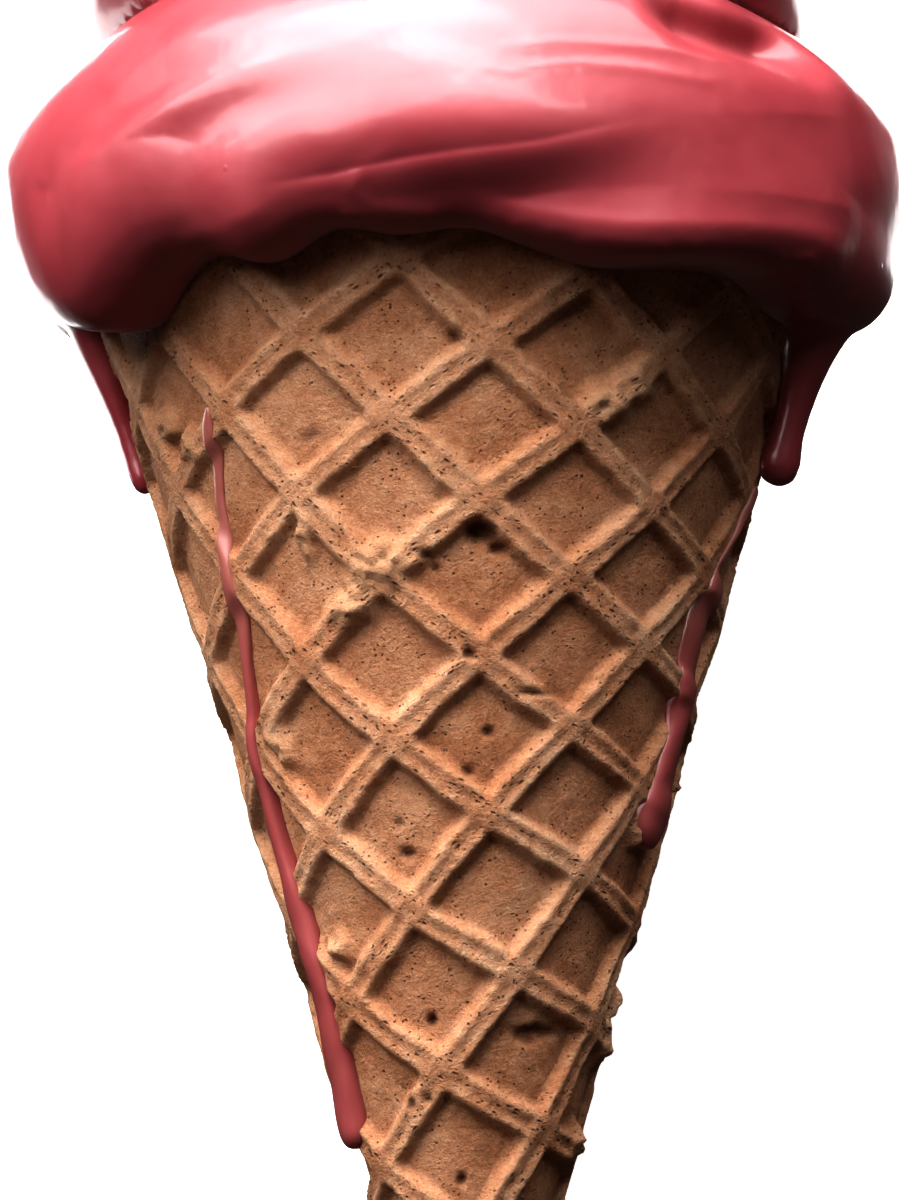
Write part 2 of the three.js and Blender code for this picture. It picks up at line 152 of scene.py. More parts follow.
def grid_counts(angle, slant):
    """Where a place on the cone lies on the flat wafer, counted in ridges of the two families."""
    flat = np.radians(angle) * math.sin(HALF_ANGLE)
    sheet = np.stack([slant * np.sin(flat), slant * np.cos(flat)], -1) / RIDGE_PITCH - GRID_START
    second_turn = GRID_TURN - math.pi / 2 - GRID_SKEW
    steps = np.array([[math.sin(GRID_TURN), math.sin(second_turn)],
                      [math.cos(GRID_TURN), math.cos(second_turn)]])
    back = np.linalg.inv(steps).T
    counts = sheet @ back
    for _ in range(BEND_STEPS):
        p, q = (GRID_REACH * np.tanh((counts - GRID_MIDDLE) / GRID_REACH)).T
        bend = [k[0] * p * p + k[1] * p * q + k[2] * q * q for k in (BEND_ACROSS, BEND_ALONG)]
        counts = (sheet - np.stack(bend, -1)) @ back
    return counts


def wafer_relief(angle, slant):
    """How far the face stands above the ridges' tops, the share of each family, the counts, and the edges."""
    height = slant * math.cos(HALF_ANGLE)
    place = round_axis(angle, slant * math.sin(HALF_ANGLE), height)
    counts = grid_counts(angle, slant)
    sway = sum(np.stack([roughness_at(place, size, one), roughness_at(place, size, two)], -1) * far
               for size, one, two, far in SWAYS)
    off = np.abs(counts - np.round(counts)) * RIDGE_PITCH
    off = np.abs(off + np.where(counts > np.round(counts), 1, -1) * sway)
    half_top = RIDGE_HALF_TOP + RIDGE_TOP_VARIES * roughness_at(place, 6, 1.3)[:, None]
    ridges = 1 - smooth_step((off - half_top) / RIDGE_WALL)
    ridges *= smooth_step((height - LOWEST_RIDGE) / LOWEST_RIDGE_FADE)[:, None]
    both = 1 - (1 - ridges[:, 0]) * (1 - ridges[:, 1])
    worn_top = WORN_DEPTH + WORN_VARIES * roughness_at(place, 5, 4.4)
    worn_top *= np.exp(-((off.min(1) / WORN_HALF_WIDTH) ** 2))
    worn_top *= 1 - ridges.prod(1)
    # the edges of the ridge tops, which the crust's colour lightens as a painted highlight
    edges = np.exp(-(((off - half_top * 0.95) / RIDGE_EDGE) ** 2)) * (1 - ridges[:, ::-1])
    middle = np.cos(np.pi * (counts - np.floor(counts) - 0.5)).prod(1)
    floor = FLOOR_RISE * np.clip(middle, 0, 1)
    # the crust is uneven over 4, 1.5 and 0.8 mm, and more so on the ridges
    coarse = roughness_at(place, 4.2, 5.0)
    fine = roughness_at(place, 1.5, 9.0)
    crumb = roughness_at(place, 0.8, 2.0)
    lift = -RIDGE_DEPTH * (1 - both) + floor * (1 - both) - worn_top * both
    lift += (0.1 + 0.05 * both) * coarse + (0.05 + 0.05 * both) * fine + 0.04 * crumb
    return lift, ridges, counts, edges.max(1)


def spots(angle, height, places):
    """How far soft round spots stand out at each place."""
    radius = height * math.tan(HALF_ANGLE)
    total = np.zeros_like(angle)
    for at, up, wide, tall, size in places:
        away = np.radians((angle - at + 180) % 360 - 180) * radius / wide
        total = np.maximum(total, size * np.exp(-((away ** 2 + ((height - up) / tall) ** 2) ** 1.4)))
    return total


# a ball of columns and rows is a closed skin with two poles, which is shaped into the rolled cone
bpy.ops.object.select_all(action="DESELECT")
bpy.ops.mesh.primitive_uv_sphere_add(segments=WAFER_COLUMNS, ring_count=WAFER_ROWS, radius=1)
wafer = bpy.context.object
wafer.name = "waffle_cone"


def column_and_row(piece, columns, rows):
    """The column and row of each point of a ball: rows are counted from its top pole."""
    ball = np.zeros(len(piece.data.vertices) * 3)
    piece.data.vertices.foreach_get("co", ball)
    ball = ball.reshape(-1, 3)
    column = np.round(np.arctan2(ball[:, 1], ball[:, 0]) / (2 * np.pi) % 1 * columns).astype(int) % columns
    row = np.round(np.arccos(np.clip(ball[:, 2], -1, 1)) / np.pi * rows).astype(int)
    return column, row


def set_points(piece, points):
    piece.data.vertices.foreach_set("co", points.astype(np.float32).ravel())
    piece.data.update()


def add_values(piece, name, values):
    kind = "FLOAT" if values.ndim == 1 else "FLOAT_VECTOR"
    layer = piece.data.attributes.new(name, kind, "POINT")
    layer.data.foreach_set("value" if values.ndim == 1 else "vector", values.astype(np.float32).ravel())


column, row = column_and_row(wafer, WAFER_COLUMNS, WAFER_ROWS)
turn_at = np.linspace(SEAM_ANGLE - 360, SEAM_ANGLE, 721)
share = np.cumsum(1 + FRONT_CLOSER * smooth_step((FRONT_HALF - np.abs(turn_at)) / FRONT_HALF_FADE))
share = (share - share[0]) / (share[-1] - share[0])
angle = np.interp(column / (WAFER_COLUMNS - 1), share, turn_at)
rim_slant = (RIM_HEIGHT - RIM_ROUND) / math.cos(HALF_ANGLE)
tip_slant = TIP_SHOULDER / math.cos(HALF_ANGLE)
rim_radius = RIM_HEIGHT * math.tan(HALF_ANGLE)
tip_radius = TIP_SHOULDER * math.tan(HALF_ANGLE)
first_side, last_side = 3, WAFER_ROWS - 4
slant = rim_slant + (tip_slant - rim_slant) * np.clip((row - first_side) / (last_side - first_side), 0, 1)
lift, ridges, counts, edges = wafer_relief(angle, slant)
height = slant * math.cos(HALF_ANGLE)
place = round_axis(angle, slant * math.sin(HALF_ANGLE), height)
torn = roughness_at(place, TEAR_SIZE, 12.0), roughness_at(place, TEAR_SIZE, 15.0)
scraps = spots(angle + torn[0] * SCRAP_TEARS[0], height + torn[1] * SCRAP_TEARS[1], SCRAPS)
bursts = spots(angle + torn[0] * BURST_TEARS[0], height + torn[1] * BURST_TEARS[1], BURSTS)
# a scrap fills the hollow under it, and is crumbly over 1.3 and 0.7 mm
filled = np.clip(scraps * 2, 0, 1)
lift = np.maximum(lift, -0.3) * filled + lift * (1 - filled)
lift += scraps * (0.8 + 0.7 * roughness_at(place, 1.3, 4.0) + 0.6 * roughness_at(place, 0.7, 5.0)) - bursts
lift = lift * (smooth_step((rim_slant - slant) / RIM_FADE) * smooth_step((slant - tip_slant) / TIP_FADE))
radius = slant * math.sin(HALF_ANGLE) + wrap_lift(angle, height) + lift * math.cos(HALF_ANGLE)
height = height - lift * math.sin(HALF_ANGLE)
# the rim and the tip close in rings: the share of the side's radius, and the height of each ring
for at_row, part, at_height in (
    (0, 0, RIM_HEIGHT), (1, 0.5, RIM_HEIGHT), (2, 0.985, RIM_HEIGHT),
    (WAFER_ROWS - 3, 0.96, TIP_HEIGHT + 1.3), (WAFER_ROWS - 2, 0.82, TIP_HEIGHT + 0.5),
    (WAFER_ROWS - 1, 0.45, TIP_HEIGHT), (WAFER_ROWS, 0, TIP_HEIGHT),
):
    ring = row == at_row
    side = rim_radius if at_height == RIM_HEIGHT else tip_radius
    radius[ring] = part * (side + wrap_lift(angle[ring], at_height) * (part > 0))
    height[ring] = at_height
points = laid_down(round_axis(angle, radius, height))
points[:, 2] = np.maximum(points[:, 2], 0)
set_points(wafer, points)
add_values(wafer, "ridge_share", 1 - (1 - ridges[:, 0]) * (1 - ridges[:, 1]))
add_values(wafer, "first_ridge", ridges[:, 0])
add_values(wafer, "edge_highlight_share", edges)
add_values(wafer, "scrap_share", np.clip(scraps * 1.4, 0, 1))
# the burst bubbles sink in, and the crust's colour darkens them as painted shade
add_values(wafer, "burst_share", np.clip(bursts * 2, 0, 1))
add_values(wafer, "grid_mm", np.concatenate([counts * RIDGE_PITCH, lift[:, None]], 1))
bpy.ops.object.shade_smooth()


def linear(hex_colour):
    """An sRGB hex colour as the linear colour that shaders take."""
    parts = [int(hex_colour[i:i + 2], 16) / 255 for i in (1, 3, 5)]
    return [c / 12.92 if c <= 0.04045 else ((c + 0.055) / 1.055) ** 2.4 for c in parts] + [1]


def new_material(name):
    material = bpy.data.materials.new(name)
    material.use_nodes = True
    return material, material.node_tree.nodes["Principled BSDF"]


def add(material, kind, settings=(), links=()):
    """Adds a node, sets its properties and unlinked sockets, and links the sockets named."""
    node = material.node_tree.nodes.new("ShaderNode" + kind)
    for key, value in dict(settings).items():
        if isinstance(key, str) and hasattr(node, key):
            setattr(node, key, value)
        else:
            node.inputs[key].default_value = value
    for key, source in dict(links).items():
        material.node_tree.links.new(source, node.inputs[key])
    return node


# Baked wafer batter: a dry crust with a fine crumb, whose tone drifts at random and is a little paler
# on the ridges. Along the ridges' edges it is paler still: a painted highlight where light catches them.
# Its ridges are torn into rows of small pores where the steam came out; pores, pinholes and burst
# bubbles are painted dark, as painted shade in the holes.
wafer_crust, crust = new_material("baked_wafer_crust")
where = add(wafer_crust, "TexCoord").outputs["Object"]
millimetres = add(wafer_crust, "VectorMath", {"operation": "SCALE", "Scale": 1000}, {0: where}).outputs[0]
on_grid = add(wafer_crust, "Attribute", {"attribute_name": "grid_mm"}).outputs["Vector"]
ridge = add(wafer_crust, "Attribute", {"attribute_name": "ridge_share"}).outputs["Fac"]
first = add(wafer_crust, "Attribute", {"attribute_name": "first_ridge"}).outputs["Fac"]
scrap = add(wafer_crust, "Attribute", {"attribute_name": "scrap_share"}).outputs["Fac"]
burst = add(wafer_crust, "Attribute", {"attribute_name": "burst_share"}).outputs["Fac"]
# the edges of the ridge tops, painted paler as a highlight
edge = add(wafer_crust, "Attribute", {"attribute_name": "edge_highlight_share"}).outputs["Fac"]
# the tone drifts over 9 mm, mottles over 1.5 mm, and the crumb is 0.3 mm
drift = add(wafer_crust, "TexNoise", {"Scale": 0.11, "Detail": 3.0}, {"Vector": millimetres}).outputs["Fac"]
mottle = add(wafer_crust, "TexNoise", {"Scale": 0.65, "Detail": 5.0, "Roughness": 0.65},
             {"Vector": millimetres}).outputs["Fac"]
crumb = add(wafer_crust, "TexNoise", {"Scale": 3.4, "Detail": 4.0, "Roughness": 0.75},
            {"Vector": millimetres}).outputs["Fac"]
tone = add(wafer_crust, "Math", {"operation": "MULTIPLY", 1: 0.35}, {0: drift}).outputs[0]
tone = add(wafer_crust, "Math", {"operation": "MULTIPLY_ADD", 1: 0.3}, {0: mottle, 2: tone}).outputs[0]
tone = add(wafer_crust, "Math", {"operation": "MULTIPLY_ADD", 1: 0.35}, {0: crumb, 2: tone}).outputs[0]
tone = add(wafer_crust, "Math", {"operation": "MULTIPLY_ADD", 1: 0.02}, {0: ridge, 2: tone}).outputs[0]
# the ridges' edges are painted paler: a painted highlight
tone = add(wafer_crust, "Math", {"operation": "MULTIPLY_ADD", 1: 0.06}, {0: edge, 2: tone}).outputs[0]
tone_and_edge_highlight = add(wafer_crust, "ValToRGB", links={"Fac": tone})
ramp = tone_and_edge_highlight.color_ramp
ramp.elements[0].position = 0.33
ramp.elements[0].color = linear("#9a6442")
ramp.elements[1].position = 0.72
ramp.elements[1].color = linear("#f6cfac")
ramp.elements.new(0.46).color = linear("#c98d66")
ramp.elements.new(0.58).color = linear("#e1ac87")
scrap_share = add(wafer_crust, "Math", {"operation": "MULTIPLY", 1: 0.5}, {0: scrap}).outputs[0]
scraped = add(wafer_crust, "Mix", {"data_type": "RGBA", 7: linear("#e8bc96")},
              {0: scrap_share, 6: tone_and_edge_highlight.outputs["Color"]})
# the pores come in patches of 3 to 4 mm
patches = add(wafer_crust, "TexNoise", {"Scale": 0.28, "Detail": 2.0}, {"Vector": millimetres}).outputs["Fac"]
patches = add(wafer_crust, "MapRange", {"From Min": 0.38, "From Max": 0.5}, {"Value": patches}).outputs[0]


def pores_along(stretch, seed):
    """Small torn pores, longer along one family of ridges than across it."""
    spread = add(wafer_crust, "VectorMath", {"operation": "MULTIPLY", 1: stretch}, {0: on_grid}).outputs[0]
    moved = add(wafer_crust, "VectorMath", {"operation": "ADD", 1: (seed, seed, 0)}, {0: spread}).outputs[0]
    cells = add(wafer_crust, "TexVoronoi", {"Scale": 1.0}, {"Vector": moved})
    chosen = add(wafer_crust, "SeparateColor", links={"Color": cells.outputs["Color"]}).outputs
    size = add(wafer_crust, "MapRange", {"From Min": 0.3, "To Min": 0.12, "To Max": 0.5},
               {"Value": chosen[1]})
    near = add(wafer_crust, "MapRange", {"From Min": 0.03, "To Min": 1.0, "To Max": 0.0},
               {"Value": cells.outputs["Distance"], "From Max": size.outputs[0]}).outputs[0]
    some = add(wafer_crust, "MapRange", {"From Min": 0.35, "From Max": 0.6}, {"Value": chosen[0]}).outputs[0]
    some = add(wafer_crust, "Math", {"operation": "MULTIPLY"}, {0: some, 1: patches}).outputs[0]
    return add(wafer_crust, "Math", {"operation": "MULTIPLY"}, {0: near, 1: some}).outputs[0]


# a pore on a ridge is up to 0.4 mm wide and 0.8 mm long with a soft edge, and pinholes are 0.2 mm wide
pores_one = pores_along((2.4, 1.2, 0.0), 3.0)
pores_two = pores_along((1.2, 2.4, 0.0), 11.0)
pores = add(wafer_crust, "Mix", {"data_type": "FLOAT"}, {0: first, 2: pores_two, 3: pores_one}).outputs[0]
top_only = add(wafer_crust, "MapRange", {"From Min": 0.8, "From Max": 1.0}, {"Value": ridge}).outputs[0]
pores = add(wafer_crust, "Math", {"operation": "MULTIPLY"}, {0: pores, 1: top_only}).outputs[0]
pinholes = add(wafer_crust, "TexVoronoi", {"Scale": 1.7}, {"Vector": millimetres}).outputs["Distance"]
pinholes = add(wafer_crust, "MapRange", {"From Min": 0.08, "From Max": 0.24, "To Min": 1.0, "To Max": 0.0},
               {"Value": pinholes}).outputs[0]
few = add(wafer_crust, "TexNoise", {"Scale": 0.5, "Detail": 3.0}, {"Vector": millimetres}).outputs["Fac"]
few = add(wafer_crust, "MapRange", {"From Min": 0.47, "From Max": 0.62}, {"Value": few}).outputs[0]
pinholes = add(wafer_crust, "Math", {"operation": "MULTIPLY"}, {0: pinholes, 1: few}).outputs[0]
holes = add(wafer_crust, "Math", {"operation": "MAXIMUM"}, {0: pores, 1: pinholes}).outputs[0]
# pores, pinholes and burst bubbles are painted dark brown: painted shade in the holes
deep = add(wafer_crust, "Math", {"operation": "MAXIMUM"}, {0: holes, 1: burst}).outputs[0]
hole_shade_share = add(wafer_crust, "Math", {"operation": "MULTIPLY", 1: 0.78}, {0: deep}).outputs[0]
wafer_colour = add(wafer_crust, "Mix", {"data_type": "RGBA", 7: linear("#5a2a14")},
                   {0: hole_shade_share, 6: scraped.outputs[2]})
wafer_crust.node_tree.links.new(wafer_colour.outputs[2], crust.inputs["Base Color"])
crust.inputs["Roughness"].default_value = 0.82
crust.inputs["Specular IOR Level"].default_value = 0.3
crust.inputs["Subsurface Weight"].default_value = 0.12
crust.inputs["Subsurface Radius"].default_value = (1.0, 0.45, 0.2)
crust.inputs["Subsurface Scale"].default_value = 0.001
grain = add(wafer_crust, "Bump", {"Strength": 1.0, "Distance": 0.00025}, {"Height": crumb}).outputs[0]
dents = add(wafer_crust, "Bump", {"Strength": 0.8, "Distance": 0.0004},
            {"Height": mottle, "Normal": grain}).outputs[0]
sunk = add(wafer_crust, "Bump", {"Strength": 1.0, "Distance": 0.0004, "invert": True},
           {"Height": holes, "Normal": dents}).outputs[0]
wafer_crust.node_tree.links.new(sunk, crust.inputs["Normal"])
wafer.data.materials.append(wafer_crust)
# the wet melt is deep crimson where it faces the crust, so the crust is left out of reflections
wafer.visible_glossy = False
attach(wafer, "root")
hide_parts("waffle_cone")

# ---------------------------------------------------------------------------------------------
# The ice cream: a rope of soft ice cream wound up into a tall swirl, now melting. Its lowest turn
# has slumped over the rim in lobes with a rounded hem, and two drops hang from it at the sides.
# ---------------------------------------------------------------------------------------------

GROOVE_HEIGHT = 139.5
TURN_RISE = 18.0
TURN_SHRINK = 0.75
SWIRL_TOP = 192.0
SWIRL_BOTTOM = RIM_HEIGHT - 2
# how far the turns reach out, by height
CREST = [
    (100, 40), (110, 42), (118, 43.7), (124, 43.3), (130, 41.6), (136, 38.7), (142, 36), (148, 33.6),
    (158, 28.4), (168, 22.2), (178, 15.2), (186, 8.8), (192, 0),
]
# lumps and dents: angle, height, half width in degrees, half height, and how far each stands out
LUMPS = [
    (84, 137.8, 15, 2.4, 3.2), (86, 132.5, 18, 3.2, -0.8), (88, 125, 26, 6, 1.2), (-92, 136, 36, 4.5, -2.2),
    (-76, 124, 26, 6, 0.7), (-106, 117, 22, 6.5, -5), (112, 116, 24, 6, -2.2),
]
# how deep the groove between two turns is, counted in turns from the lowest
GROOVE_DEPTH = [
    (-0.6, 0), (-0.2, 0.9), (0, 1.7), (0.3, 2), (0.6, 3.8), (1, 5.4), (2, 5.6), (3, 4.6), (4, 2.6), (5, 1),
]
GROOVE_SHARPNESS = 3
CREST_SAG = 0.82
CLIMB_LEVEL = 0.227
CLIMB_RIPPLE = 0.023
# the height of the hem, by angle
HEM = [
    (-180, 110), (-152, 107.5), (-128, 112.5), (-104, 115.5), (-86, 114.5), (-74, 112), (-63, 108.5),
    (-53, 107.8), (-42, 111.3), (-35, 111.9), (-27, 110.2), (-17, 112.3), (-7, 111.6), (3, 112.2),
    (11, 110.6), (22, 109), (38, 109.9), (48, 110.4), (60, 109.4), (72, 109.4), (84, 110.6), (98, 113.5),
    (114, 114.5), (134, 108.5), (156, 110.5),
]
LIP_LENGTH, LIP_TUCK, LIP_INSIDE, LIP_ROWS = 8.5, 1.6, 1, 14
LIP_LONGER, LIP_LONGER_AT, LIP_LONGER_SPREAD = 6.5, -76, 25
LOBE_ANGLE, LOBE_SPREAD, LOBE_SAG, LOBE_REACH, SAG_STEPS = -56, 22, 6, 24, 6
PEAK_FROM, PEAK_LEAN, PEAK_ANGLE = 168, 3.2, 35
KNOB_ANGLE, KNOB_HEIGHT, KNOB_WIDTH, KNOB_TALL, KNOB_OUT = -24, 111.6, 3.6, 2, 0.4
SWIRL_COLUMNS, SWIRL_ROWS = 300, 230
MELT_VOXEL, MELT_SMOOTHINGS = 0.0007, 8

# folds that the melt has drawn into its lowest turn, mostly strands that run up to the right: a path
# of angles and heights, the half width of the form, and how far it stands out or sinks in
FOLDS = [
    ([(-68, 112), (-57, 117.4), (-50, 121.2), (-45, 122.6), (-35, 125.8), (-23, 127.2), (-8, 127.8)],
     2.2, -0.5),
    ([(-60, 114.5), (-54, 118.7), (-50, 119.8), (-38, 123.4), (-26, 125.6), (-12, 127)], 2.6, 0.6),
    ([(-50, 106), (-45, 111.7), (-37, 116.3), (-31, 119.6), (-25, 121.6), (-17, 122.6), (-8, 123.2)],
     3.2, -0.8),
    ([(-38, 111), (-31, 115), (-25, 116.5), (-15, 117.6), (-2, 118.3), (12, 118.9), (28, 119.6)], 3.4, 0.5),
    ([(24, 133), (33, 131.6), (42, 131.2), (50, 131.6), (60, 133)], 2.6, -4.2),
    ([(48, 128.4), (58, 129.6), (70, 129), (80, 126)], 3.2, 0.7),
]
FOLD_RADIUS, FOLD_TAPER = 41, 0.3
# Under the strands the front is hollowed, and a lower roll of melt lies below the hollow. By angle:
# the height and radius of the hollow, the radius of the roll, where the roll is fullest on the way
# from its hem to the hollow, how far it turns in at its hem, how high the brow over the hollow is,
# and how softly it turns into the hollow. This form reaches from one angle to another, and fades.
HOLLOW_HEIGHT = [(-48, 106.4), (-40, 108.4), (-34, 109.7), (-28, 110.2), (-20, 111), (-10, 112),
                 (0, 112.8), (8, 113.3), (16, 114), (30, 114.7), (50, 116.2), (67, 118), (80, 120)]
HOLLOW_RADIUS = [(-48, 41.4), (-34, 40.9), (-20, 40), (-10, 39.4), (5, 39.5), (18, 41.6), (30, 43.1),
                 (45, 43.8), (60, 44), (75, 44)]
ROLL_RADIUS = [(-48, 40.5), (-34, 39.9), (-20, 39.4), (-8, 38.8), (4, 39.1), (14, 40.6), (28, 42.8),
               (45, 43.6), (65, 43.8)]
ROLL_CREST = [(-48, 0.45), (12, 0.45), (30, 0.5), (50, 0.6), (65, 0.65)]
ROLL_TURN = [(-48, 2.4), (15, 2.1), (30, 2), (45, 2.5), (65, 3.4)]
BROW_ABOVE = [(-48, 4), (10, 4), (28, 6.5), (60, 9)]
BROW_SOFT = [(-40, 0.5), (10, 0.5), (40, 0.65)]
FRONT_FROM, FRONT_TO, FRONT_FADE = -10, 50, 14
# the thin wet edges of the last sheets of melt, as the folds are given, drawn in on the closed skin
WET_EDGES = [
    ([(-1, 117.2), (-6, 116.9), (-10, 115.7), (-11.2, 114), (-9, 112.7), (-2, 112.3), (4, 112.1), (11, 110.6),
      (19, 109)], 0.6, 0.12),
    ([(-40, 110.6), (-36, 112.2), (-32, 112.5), (-27, 111.7)], 0.6, 0.12),
    ([(40, 109.4), (44, 110.3), (49, 111), (53, 110)], 0.45, 0.2),
    ([(2, 124.4), (5, 125.7), (13, 126.7), (23, 127.1), (34, 127.3), (46, 128.4)], 0.6, 0.1),
    ([(2, 124.3), (8, 123.7), (15, 124.6), (23, 124.8), (31, 124.6), (38, 125.4)], 0.6, 0.1),
]


def smooth_curve(knots, x):
    """A smooth curve through knots of x and value, held level past both ends."""
    at, value = np.array(knots, float).T
    slope = np.empty_like(value)
    slope[1:-1] = (value[2:] - value[:-2]) / (at[2:] - at[:-2])
    slope[0] = (value[1] - value[0]) / (at[1] - at[0])
    slope[-1] = (value[-1] - value[-2]) / (at[-1] - at[-2])
    x = np.clip(x, at[0], at[-1])
    i = np.clip(np.searchsorted(at, x, side="right") - 1, 0, len(at) - 2)
    span = at[i + 1] - at[i]
    t = (x - at[i]) / span
    return (value[i] * (1 + 2 * t) * (1 - t) ** 2 + slope[i] * span * t * (1 - t) ** 2
            + value[i + 1] * t * t * (3 - 2 * t) - slope[i + 1] * span * t * t * (1 - t))


def between(start, end):
    return (end - start + 540) % 360 - 180


def climb(angle):
    turn = np.radians(angle)
    return angle / 360 - CLIMB_LEVEL * np.sin(turn) + CLIMB_RIPPLE * np.sin(3 * turn)


def sag_at(angle, height):
    near = np.exp(-((between(LOBE_ANGLE, angle) / LOBE_SPREAD) ** 2))
    return LOBE_SAG * near * smooth_step((GROOVE_HEIGHT - height) / LOBE_REACH)


def fold_lift(angle, height, path, half_width):
    """1 on the line of a fold and 0 away from it, tapering out towards both its ends."""
    round_mm = math.radians(1) * FOLD_RADIUS
    ends = np.array(path, float) * (round_mm, 1)
    at = np.stack([angle * round_mm, height], -1)
    best = np.full(len(at), 1e9)
    along = np.zeros(len(at))
    lengths = np.linalg.norm(np.diff(ends, axis=0), axis=1)
    walked = np.concatenate([[0], np.cumsum(lengths)])
    for start, end, length, before in zip(ends[:-1], ends[1:], lengths, walked):
        t = np.clip(((at - start) @ (end - start)) / length ** 2, 0, 1)
        away = np.linalg.norm(at - start - t[:, None] * (end - start), axis=1)
        closer = away < best
        best[closer] = away[closer]
        along[closer] = (before + t * length)[closer] / walked[-1]
    taper = smooth_step(np.minimum(along, 1 - along) / FOLD_TAPER)
    return np.exp(-((best / half_width) ** 2)) * taper


def swirl_radius(angle, height):
    """The radius of the swirl: its crests less the groove that winds up between them, lumps and folds."""
    level = height
    for _ in range(SAG_STEPS):
        level = height + sag_at(angle, level)
    fall = 1 - (level - GROOVE_HEIGHT) * (1 - TURN_SHRINK) / TURN_RISE
    turns = 1 + np.log(np.maximum(fall, 1e-3)) / math.log(TURN_SHRINK) - climb(angle)
    part = (turns - np.floor(turns)) ** CREST_SAG
    groove = smooth_curve(GROOVE_DEPTH, turns + angle / 360) * np.abs(2 * part - 1) ** GROOVE_SHARPNESS
    out = smooth_curve(CREST, height) - groove
    for at, up, wide, tall, size in LUMPS:
        out = out + size * np.exp(-((between(at, angle) / wide) ** 2) - ((height - up) / tall) ** 2)
    for path, half_width, size in FOLDS:
        out = out + size * fold_lift(angle, height, path, half_width)
    return np.maximum(out, 0.05)


def lip_at(angle):
    return LIP_LENGTH + LIP_LONGER * np.exp(-((between(LIP_LONGER_AT, angle) / LIP_LONGER_SPREAD) ** 2))


def outer_radius(angle, height, hem):
    """The outer side from the hem up, with the rounded lip or, at the front, the lower roll."""
    full = hem + lip_at(angle)
    inner = hem * math.tan(HALF_ANGLE) - LIP_INSIDE
    side = swirl_radius(angle, np.maximum(height, full))
    round_off = np.sqrt(np.clip(1 - ((full - height) / (full - hem)) ** 2, 0, 1))
    lip = inner + (side - inner) * (1 + np.where(height < full, round_off, 1)) / 2
    hollow = smooth_curve(HOLLOW_HEIGHT, angle)
    crest = hem + smooth_curve(ROLL_CREST, angle) * (hollow - hem)
    hollow_radius = smooth_curve(HOLLOW_RADIUS, angle)
    roll_radius = smooth_curve(ROLL_RADIUS, angle)
    edge = roll_radius - smooth_curve(ROLL_TURN, angle)
    roll = edge + (roll_radius - edge) * np.sqrt(np.clip(1 - ((crest - height) / (crest - hem)) ** 2, 0, 1))
    rising = np.clip((height - crest) / (hollow - crest), 0, 1)
    roll = np.where(height > crest, roll_radius + (hollow_radius - roll_radius) * rising ** 2, roll)
    knob = KNOB_OUT * np.exp(-((between(KNOB_ANGLE, angle) / KNOB_WIDTH) ** 2)
                             - ((height - KNOB_HEIGHT) / KNOB_TALL) ** 2)
    brow_height = smooth_curve(BROW_ABOVE, angle)
    brow = np.clip((height - hollow) / brow_height, 0, 1)
    soft = smooth_curve(BROW_SOFT, angle)
    turned_under = (1 - (1 - brow) ** 2) * (1 - soft) + smooth_step(brow) * soft
    above = swirl_radius(angle, np.maximum(height, hollow + brow_height))
    front = np.where(height > hollow, hollow_radius + (above - hollow_radius) * turned_under, roll)
    share = smooth_step(np.minimum(angle - FRONT_FROM, FRONT_TO - angle) / FRONT_FADE + 1)
    return lip + knob + (front - lip) * share


bpy.ops.object.select_all(action="DESELECT")
bpy.ops.mesh.primitive_uv_sphere_add(segments=SWIRL_COLUMNS, ring_count=SWIRL_ROWS, radius=1)
swirl = bpy.context.object
swirl.name = "ice_cream"
column, row = column_and_row(swirl, SWIRL_COLUMNS, SWIRL_ROWS)
angle = (column / SWIRL_COLUMNS * 360 + 90 + 180) % 360 - 180
wrapped = [(HEM[-1][0] - 360, HEM[-1][1])] + HEM + [(180, HEM[0][1]), (HEM[1][0] + 360, HEM[1][1])]
hem = smooth_curve(wrapped, angle)
full = hem + lip_at(angle)
lip_top = SWIRL_ROWS - 1 - LIP_ROWS
rise = np.clip(1 - row / lip_top, 0, 1)
height = full + (SWIRL_TOP - full) * rise
in_lip = row > lip_top
arc = np.radians(90 - 180 * (row - lip_top) / LIP_ROWS)
inner = hem * math.tan(HALF_ANGLE) - LIP_INSIDE
height = np.where(in_lip, hem + np.where(arc < 0, LIP_TUCK, full - hem) * (1 - np.cos(arc)), height)
outer = outer_radius(angle, height, hem)
under = inner + (outer_radius(angle, hem, hem) - inner) * (1 + np.sin(arc))
radius = np.where(row == 0, 0, np.where(in_lip & (arc < 0), under, outer))
radius[row == SWIRL_ROWS] = 0
height[row == SWIRL_ROWS] = SWIRL_BOTTOM
lean = np.clip((height - PEAK_FROM) / (SWIRL_TOP - PEAK_FROM), 0, 1) ** 2 * PEAK_LEAN
points = round_axis(angle, radius, height)
lean_turn = math.radians(PEAK_ANGLE)
points[:, :2] += lean[:, None] * np.array([math.sin(lean_turn), -math.cos(lean_turn)])
set_points(swirl, laid_down(points))


def stream_points(column, row, columns, rows, knots, lift):
    """A stream of melt with rounded ends. Its knots are angle, height, half width and half thickness."""
    knots = np.array(knots, float)
    middle_line = round_axis(knots[:, 0], knots[:, 1] * math.tan(HALF_ANGLE), knots[:, 1])
    walked = np.concatenate([[0], np.cumsum(np.linalg.norm(np.diff(middle_line, axis=0), axis=1))])
    at = walked / walked[-1]
    t = np.clip(row / rows, 0, 1)
    first_cap, last_cap = knots[0, 2] / walked[-1], knots[-1, 2] / walked[-1]
    from_end = np.clip(np.minimum(t / first_cap, (1 - t) / last_cap), 0, 1)
    rounding = np.sqrt(np.maximum(1 - (1 - from_end) ** 2, 0))
    around = 2 * np.pi * column / columns
    angle, height, wide, thick = (smooth_curve(list(zip(at, knots[:, i])), t) for i in range(4))
    radius = height * math.tan(HALF_ANGLE)
    off = wide * rounding * np.cos(around)
    angle = angle + np.degrees(off / radius)
    out = thick * rounding * np.sin(around)
    return angle, height, out + lift(angle, height, out)


